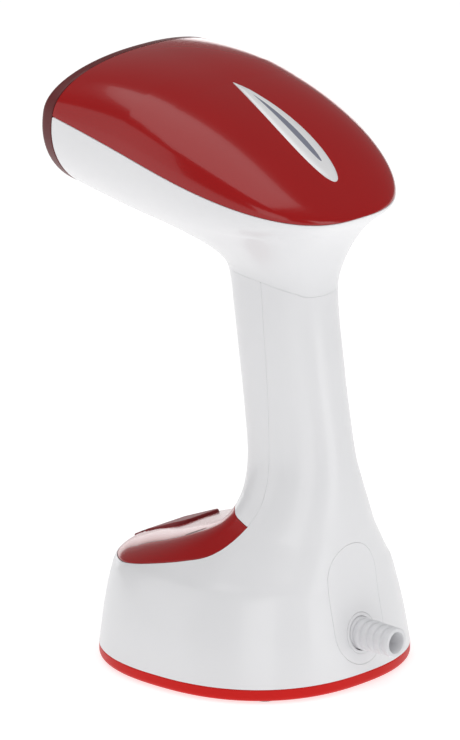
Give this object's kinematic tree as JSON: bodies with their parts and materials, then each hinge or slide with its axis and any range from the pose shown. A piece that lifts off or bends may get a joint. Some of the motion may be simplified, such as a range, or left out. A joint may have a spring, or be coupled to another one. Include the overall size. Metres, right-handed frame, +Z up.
{
  "type": "garment steamer",
  "caption": "Upright handheld garment steamer: oval weighted base with a filler flap, slim handle with trigger, and a domed steam head.",
  "frame": {"origin": "on the mirror plane, in the floor plane that the feet stand on, 66 mm behind the front of the base's band", "axes": "+Z up, +Y towards the cord guard, so the steam plate faces -Y; X is across, with X = 0 the mirror plane"},
  "size_m": [0.128, 0.1625, 0.2624],
  "materials": {
    "white_gloss": "gloss",
    "white_soft": "satin",
    "red_gloss": "gloss",
    "red_satin": "satin",
    "red_textured": "fine grain",
    "bezel_red": "satin",
    "dark_rubber": "matte",
    "seal_rubber": "matte",
    "zinc_steel": "satin",
    "plate_steel": "brushed",
    "heater_steel": "satin",
    "cast_weight": "cast",
    "cast_aluminium": "cast",
    "black_plastic": "matte",
    "cream_plastic": "satin",
    "tank_plastic": "clear",
    "silicone_tube": "satin",
    "wire_sleeve": "matte",
    "silver_trim": "fine metallic",
    "smoke_lens": "gloss",
    "board_green": "satin"
  },
  "bodies": {
    "housing": {"base_plate": "red_satin", "rubber_feet": "dark_rubber", "base_screws": "zinc_steel", "ballast_weight": "cast_weight", "body_shell": "white_gloss", "handle_front_cover": "white_gloss", "trigger_pin": "zinc_steel", "trigger_spring": "zinc_steel", "switch_body": "black_plastic", "tank_cover": "red_gloss", "water_tank": "tank_plastic", "flap_hinge_pin": "zinc_steel", "cord_panel": "white_gloss", "panel_screws": "zinc_steel", "cord_guard": "white_soft", "cord_clamp": "black_plastic", "clamp_screws": "zinc_steel", "terminal_block": "cream_plastic", "pump_body": "black_plastic", "pump_spring": "zinc_steel", "pump_mounts": "dark_rubber", "suction_tube": "silicone_tube", "delivery_tube": "silicone_tube", "wire_harness": "wire_sleeve", "head_housing": "white_gloss", "head_top_cover": "red_gloss", "front_bezel": "bezel_red", "steam_plate": "plate_steel", "steam_gasket": "seal_rubber", "steam_generator": "cast_aluminium", "generator_cover": "cast_aluminium", "generator_screws": "zinc_steel", "heating_element": "heater_steel", "thermostat": "cream_plastic", "thermal_fuse": "cream_plastic", "heat_shield": "cast_aluminium", "light_trim": "silver_trim", "light_lens": "smoke_lens", "light_board": "board_green", "head_screws": "zinc_steel"},
    "trigger": {"steam_trigger": "red_gloss"},
    "plunger": {"switch_plunger": "red_satin"},
    "flap": {"filler_flap": "red_textured", "filler_seal": "dark_rubber"},
    "piston": {"pump_piston": "zinc_steel"}
  },
  "joints": [
    {"name": "trigger_hinge", "type": "hinge", "parent": "housing", "child": "trigger", "pos_m": [0, -0.0015, 0.171], "axis": [1, 0, 0], "range_deg": [0, 6], "stiffness_Nm_per_rad": 0.15, "springref_deg": -17.19, "deforming": ["trigger_spring"]},
    {"name": "plunger_slide", "type": "slide", "parent": "housing", "child": "plunger", "axis": [0, 1, 0], "range_m": [0, 0.00351]},
    {"name": "flap_hinge", "type": "hinge", "parent": "housing", "child": "flap", "pos_m": [0, -0.0536, 0.0464], "axis": [1, 0, 0], "range_deg": [0, 60]},
    {"name": "piston_slide", "type": "slide", "parent": "housing", "child": "piston", "axis": [1, 0, 0], "range_m": [-0.002, 0.001], "stiffness_N_per_m": 300, "deforming": ["pump_spring"]}
  ],
  "couplings": [
    {"joint": "plunger_slide", "follows": "trigger_hinge", "m_per_rad": 0.0335}
  ]
}
